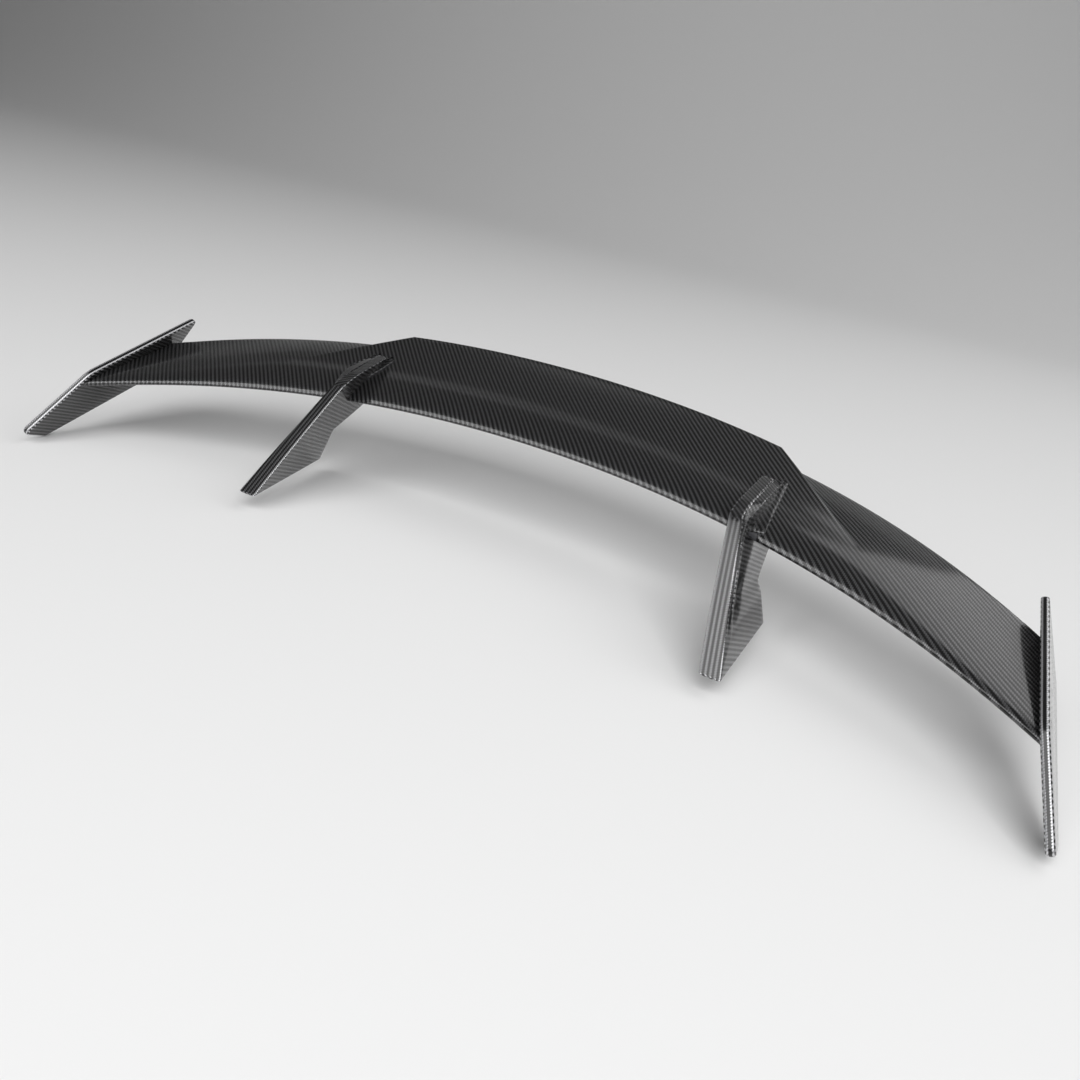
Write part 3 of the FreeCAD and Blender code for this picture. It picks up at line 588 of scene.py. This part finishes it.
def upright_paths():
    """Front edge and rear edge of an upright in the side view."""
    x = arm_span()
    nose = blade_point(x, 0.0, 1, False) / MM
    ridge = blade_point(x, ARM_REACH, 1, True) / MM
    belly = blade_point(x, WEB_START, -1, True) / MM
    last = blade_point(x, WEB_END, -1, True) / MM
    heel = FOOT_FRONT + FOOT_LENGTH
    knee = (nose.y - KNEE_LEAD, nose.z + KNEE_ABOVE)
    front = [
        (0.0, FOOT_FRONT, 0.0, 0.0, 0.0),
        (0.62, *knee, *FRONT_BOW),
        (0.73, knee[0] + SHOULDER_RUN[0], knee[1] + SHOULDER_RUN[1], 0.0, SHOULDER_BOW),
        (1.0, ridge.y, ridge.z + ARM_HEIGHT, 0.0, 0.0),
    ]
    rear = [
        (0.0, heel, 0.0, 0.0, 0.0),
        (0.26, heel - NOTCH_INSET, NOTCH_HEIGHT, 0.0, 0.0),
        (0.44, belly.y, belly.z - WEB_DEPTH, 0.0, 0.0),
        (0.66, last.y, last.z - 3.0, *WEB_BOW),
        (0.72, last.y, last.z + 4.0, 0.0, 0.0),
        (1.0, ridge.y + ARM_END, ridge.z + 1.0, 0.0, 0.0),
    ]
    return front, rear


SPINE_STEPS = [0.0, 1.2, 2.4, 3.5, 4.8, 6.2, 8.0, 10.0, 12.0, 13.5, 15.0, 17.0, 19.0, 22.0, 25.0, 28.0]
WEB_STEPS = 12  # even steps from the last of the spine's to the rear edge
FULL_LENGTH = 40.0  # the spine's steps close up where the side is shorter than this
EDGE_DEPTH = 3.5  # rounded front corner of the spine's outer side
GROOVE_DEPTH = 10.0  # where the shallow groove behind it ends
GROOVE_SINK = 3.2
RIB_DEPTH = 15.0  # where the second rib ends and the pocket falls away
POCKET_FLOOR = 24.0  # where the pocket's floor is reached
POCKET_FOOT = 34.0  # height of the pocket's lower end
POCKET_RUN = 30.0  # height over which the pocket grows to its full sink
POCKET_SINK = (4.0, 5.0)  # at the lower end, and what the full height adds
POCKET_SPREAD = 0.42  # the pocket's far side moves back by this share of the height
POCKET_FADE = (14.0, 0.7)  # run of the far side, and the share of the sink it takes back
FACET = (0.1, 4.0)  # fall of the web's upper facet above the fold, and its limit
SHOULDER = (0.75, 15.0)  # how the outer side swells over the deck, and over what depth
CREASE = ((11.0, 34.0), (125.0, 49.0))  # (y, z) ends of the fold between the two facets of the web


def ease(value, start, end):
    t = min(max((value - start) / (end - start), 0.0), 1.0)
    return t * t * (3.0 - 2.0 * t)


def hump(value, start, end):
    """0 at both ends and 1 halfway."""
    t = min(max((value - start) / (end - start), 0.0), 1.0)
    return math.sin(math.pi * t)


def outer_face(y, z, depth, arm):
    """Span of the outer side: spine, groove, second rib, pocket and creased web.

    depth is the distance behind the front edge, and arm goes from 0 on the spine to 1 over the deck.
    """
    flush = min(spine_face(y, z), web_face(y, z)) if depth > EDGE_DEPTH else spine_face(y, z)
    (y0, z0), (y1, z1) = CREASE
    above = z - (z0 + (z1 - z0) * (y - y0) / (y1 - y0))
    grown = ease(z, POCKET_FOOT, POCKET_FOOT + POCKET_RUN)
    groove = GROOVE_SINK * hump(depth, EDGE_DEPTH, GROOVE_DEPTH) * grown
    fall = ease(depth, RIB_DEPTH, POCKET_FLOOR)
    far = POCKET_FLOOR + POCKET_SPREAD * max(z - POCKET_FOOT, 0.0)
    fade = 1.0 - POCKET_FADE[1] * ease(depth, far, far + POCKET_FADE[0])
    pocket = (POCKET_SINK[0] + POCKET_SINK[1] * grown) * fall * grown * fade
    facet = fall * min(max(above, 0.0) * FACET[0], FACET[1])
    shoulder = SHOULDER[0] * min(max(depth - EDGE_DEPTH, 0.0), SHOULDER[1])
    outside = flush - (groove + pocket + facet) * (1.0 - arm) + shoulder * arm
    return max(outside, inner_face(y, z) + LEAST_WIDTH)


def make_upright_body():
    front, rear = upright_paths()
    count = len(SPINE_STEPS) + WEB_STEPS
    rows = 72

    def spot(across, down):
        """(y, z, depth behind the front edge) of a grid point."""
        fy, fz = path_point(front, down)
        ry, rz = path_point(rear, down)
        length = math.hypot(ry - fy, rz - fz)
        index = round(across * count)
        closing = min(1.0, length / FULL_LENGTH)
        if index < len(SPINE_STEPS):
            depth = SPINE_STEPS[index] * closing
        else:
            near = SPINE_STEPS[-1] * closing
            depth = near + (length - near) * (index - len(SPINE_STEPS) + 1) / (WEB_STEPS + 1)
        share = depth / length
        return fy + (ry - fy) * share, fz + (rz - fz) * share, depth

    def inner(across, down):
        y, z, depth = spot(across, down)
        return Vector((inner_face(y, z), y, z)) * MM

    def outer(across, down):
        y, z, depth = spot(across, down)
        return Vector((outer_face(y, z, depth, ease(down, 0.5, 0.7)), y, z)) * MM

    def front_band(across, down):
        low, high = inner(0.0, down), outer(0.0, down)
        return low.lerp(high, across)

    def rear_band(across, down):
        low, high = inner(1.0, down), outer(1.0, down)
        return low.lerp(high, across)

    def foot(across, down):
        return inner(across, 0.0).lerp(outer(across, 0.0), down)

    def head(across, down):
        return inner(across, 1.0).lerp(outer(across, 1.0), down)

    sheets = [
        grid_sheet("inner", count, rows, inner),
        grid_sheet("outer", count, rows, outer),
        grid_sheet("front", 4, rows, front_band),
        grid_sheet("rear", 1, rows, rear_band),
        grid_sheet("foot", count, 1, foot),
        grid_sheet("head", count, 1, head),
    ]
    body = join_sheets("upright_body", sheets)
    close_up(body)
    return body


def make_flange():
    """Bonding flange lying on the deck round the arm."""
    x = arm_span()
    nose = blade_point(x, 0.0, 1, False) / MM
    ridge = blade_point(x, ARM_REACH, 1, True) / MM
    end_y = ridge.y + FLANGE_REAR
    start_y = nose.y + FLANGE_FRONT
    end_z = ridge.z + FLANGE_LIFT
    corners = {
        (0, 0): (inner_face(nose.y, nose.z) + 1.0, start_y),
        (1, 0): (spine_face(nose.y, nose.z) + FLANGE_MARGIN / 2, start_y),
        (0, 1): (inner_face(end_y, end_z) - FLANGE_MARGIN, end_y),
        (1, 1): (spine_face(end_y, end_z) + 1.6 * FLANGE_MARGIN, end_y),
    }

    def deck_height(px, py, proud):
        """Height of the deck over a plan point, found along the chord."""
        low, high = 0.0, 0.95
        for _ in range(24):
            middle = (low + high) / 2
            if blade_point(px, middle, 1, True, proud).y / MM < py:
                low = middle
            else:
                high = middle
        return blade_point(px, low, 1, True, proud).z / MM

    def surface(proud):
        def place(across, down):
            near = [a + (b - a) * across for a, b in zip(corners[(0, 0)], corners[(1, 0)])]
            far = [a + (b - a) * across for a, b in zip(corners[(0, 1)], corners[(1, 1)])]
            px = near[0] + (far[0] - near[0]) * down
            py = near[1] + (far[1] - near[1]) * down
            return Vector((px, py, deck_height(px, py, proud))) * MM

        return place

    flange = grid_sheet("flange", 8, 26, surface(BED))
    activate(flange)
    bpy.ops.object.mode_set(mode="EDIT")
    bpy.ops.mesh.select_all(action="SELECT")
    bpy.ops.mesh.extrude_region_move(TRANSFORM_OT_translate={"value": (0, 0, FLANGE_HEIGHT * MM)})
    bpy.ops.object.mode_set(mode="OBJECT")
    close_up(flange)
    round_edges(flange, 1.1, 3, lambda place: True, 50.0)
    return flange


def upright_cloth(place, normal):
    """Cloth runs down the sides, along the spine's front at 45 degrees, and flat over the arm."""
    if normal.z > 0.8:
        return (place.x, place.y)
    if abs(normal.x) > 0.62 or normal.y > 0.0:
        return turned(place.y, place.z, SIDE_LAY)
    across = place.x - inner_face(place.y / MM, place.z / MM) * MM
    return turned(across, place.y * 0.68 + place.z * 0.73, BIAS)


def make_uprights():
    body = make_upright_body()
    dress(body, side_carbon, edge_highlight_carbon)
    round_edges(body, 1.3, 3, lambda place: True, 40.0)
    flange = make_flange()
    dress(flange, side_carbon, edge_highlight_carbon)
    right = join_sheets("upright_shell_right", [body, flange])
    lay_cloth(right, upright_cloth)
    smooth(right, 38.0)
    left = mirror_copy(right, "upright_shell_left")
    for piece, hand in ((right, "right"), (left, "left")):
        settle(piece, "gloss_carbon", "upright_" + hand, "upright_core_" + hand)


# ---------------------------------------------------------------- endplates


def make_endplates():
    deselect()
    bpy.ops.mesh.primitive_circle_add(vertices=len(PLATE_CORNERS), radius=0.1, fill_type="NGON")
    plate = bpy.context.object
    ring = list(plate.data.polygons[0].vertices)
    for index, (u, v, radius) in zip(ring, PLATE_CORNERS):
        plate.data.vertices[index].co = Vector((u, v, 0.0)) * MM
    for u, v, radius in PLATE_CORNERS:
        activate(plate)
        bpy.ops.object.mode_set(mode="EDIT")
        bpy.ops.mesh.select_mode(type="VERT")
        bpy.ops.mesh.select_all(action="DESELECT")
        bpy.ops.object.mode_set(mode="OBJECT")
        corner = Vector((u, v, 0.0)) * MM
        for vertex in plate.data.vertices:
            vertex.select = (vertex.co - corner).length < 0.01 * MM
        before, after = neighbours(u, v)
        half = before.angle(after) / 2
        bpy.ops.object.mode_set(mode="EDIT")
        cut = radius * MM / math.tan(half)
        bpy.ops.mesh.bevel(offset=cut, segments=14, affect="VERTICES", clamp_overlap=False)
        bpy.ops.object.mode_set(mode="OBJECT")
    activate(plate)
    bpy.ops.object.mode_set(mode="EDIT")
    bpy.ops.mesh.select_all(action="SELECT")
    bpy.ops.mesh.extrude_region_move(TRANSFORM_OT_translate={"value": (0, 0, PLATE_THICKNESS * MM)})
    bpy.ops.mesh.select_all(action="SELECT")
    bpy.ops.mesh.normals_make_consistent(inside=False)
    bpy.ops.object.mode_set(mode="OBJECT")
    dress(plate, side_carbon, edge_highlight_carbon)
    round_edges(plate, PLATE_RIM, 5, lambda place: True, 60.0)
    lay_cloth(plate, plate_cloth)
    plate.data.transform(PLATE)
    plate.name = "endplate_shell_right"
    plate.data.name = "endplate_shell_right"
    smooth(plate, 30.0)
    left = mirror_copy(plate, "endplate_shell_left")
    for piece, hand in ((plate, "right"), (left, "left")):
        settle(piece, "gloss_carbon", "endplate_" + hand, "endplate_core_" + hand)


def neighbours(u, v):
    """Directions from a corner of the endplate's outline to the corners beside it."""
    spots = [Vector((a, b, 0.0)) for a, b, radius in PLATE_CORNERS]
    here = Vector((u, v, 0.0))
    at = spots.index(here)
    return spots[at - 1] - here, spots[(at + 1) % len(spots)] - here


def plate_cloth(place, normal):
    if abs(normal.z) > 0.6:
        return turned(place.x, place.y, PLATE_LAY)
    return turned(place.z, place.x * 0.8 + place.y * 0.6, BIAS)


# ---------------------------------------------------------------- CAD pieces that show as they are

FINISHES = {
    "foot_plate": aluminium,
    "mounting_inserts": steel,
    "tip_inserts": steel,
    "endplate_screws": black_steel,
    "adhesive_bed": adhesive,
    "upright_hardpoint": aluminium,
    "tip_rib": raw_carbon,
    "blade_main_spar": raw_carbon,
}


def finish_nodes():
    for name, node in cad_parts.items():
        finish = next((made for start, made in FINISHES.items() if name.startswith(start)), foam)
        dress(node, finish)


# ---------------------------------------------------------------- studio


def make_floor():
    """Pale paper that lies flat under the wing and curves up behind it."""
    deselect()
    bpy.ops.mesh.primitive_plane_add(size=60.0, location=(0.0, -22.0, cad_low.z - 0.002))
    floor = bpy.context.object
    floor.name = "studio_floor"
    activate(floor)
    bpy.ops.object.mode_set(mode="EDIT")
    bpy.ops.mesh.select_mode(type="EDGE")
    bpy.ops.mesh.select_all(action="DESELECT")
    bpy.ops.object.mode_set(mode="OBJECT")
    for edge in floor.data.edges:
        edge.select = all(floor.data.vertices[index].co.y > 29.0 for index in edge.vertices)
    bpy.ops.object.mode_set(mode="EDIT")
    bpy.ops.mesh.extrude_edges_move(TRANSFORM_OT_translate={"value": (0.0, 0.0, 6.0)})
    bpy.ops.object.mode_set(mode="OBJECT")
    bpy.ops.object.transform_apply(location=True)
    bend = floor.modifiers.new("bend", "BEVEL")
    bend.width = 4.0
    bend.segments = 16
    bend.limit_method = "ANGLE"
    bpy.ops.object.modifier_apply(modifier=bend.name)
    bpy.ops.object.shade_smooth()
    material, tree, shader = principled("studio_paper")
    shader.inputs["Base Color"].default_value = (0.82, 0.82, 0.82, 1.0)
    shader.inputs["Roughness"].default_value = 0.75
    dress(floor, material)


def soft_light(name, place, target, width, height, power):
    deselect()
    bpy.ops.object.light_add(type="AREA", location=place)
    light = bpy.context.object
    light.name = name
    light.data.shape = "RECTANGLE"
    light.data.size = width
    light.data.size_y = height
    light.data.energy = power
    light.rotation_euler = (Vector(target) - Vector(place)).to_track_quat("-Z", "Y").to_euler()


def make_studio():
    make_floor()
    soft_light("key_light", (2.6, 2.0, 3.8), (0.5, 0.1, 0.0), 4.2, 4.2, 75.0)
    soft_light("front_light", (0.6, -3.4, 3.4), (0.0, -0.2, 0.0), 7.0, 5.0, 330.0)
    soft_light("back_light", (0.0, 3.0, 4.5), (0.0, 8.0, 0.5), 12.0, 1.5, 30.0)
    world = bpy.data.worlds.new("studio")
    world.use_nodes = True
    world.node_tree.nodes["Background"].inputs["Color"].default_value = (0.5, 0.5, 0.5, 1.0)
    world.node_tree.nodes["Background"].inputs["Strength"].default_value = 0.2
    bpy.context.scene.world = world
    bpy.context.scene.view_settings.view_transform = "Standard"


def make_camera():
    deselect()
    turn = tuple(math.radians(angle) for angle in (64.768, -10.248, 25.401))
    bpy.ops.object.camera_add(location=(0.4312, -0.9374, 0.5213), rotation=turn)
    camera = bpy.context.object
    camera.name = "camera"
    camera.data.lens = 29.0
    camera.data.sensor_width = 36.0
    camera.data.clip_start = 0.01
    bpy.context.scene.camera = camera


make_camera()
make_studio()
finish_nodes()
make_blade()
make_uprights()
make_endplates()
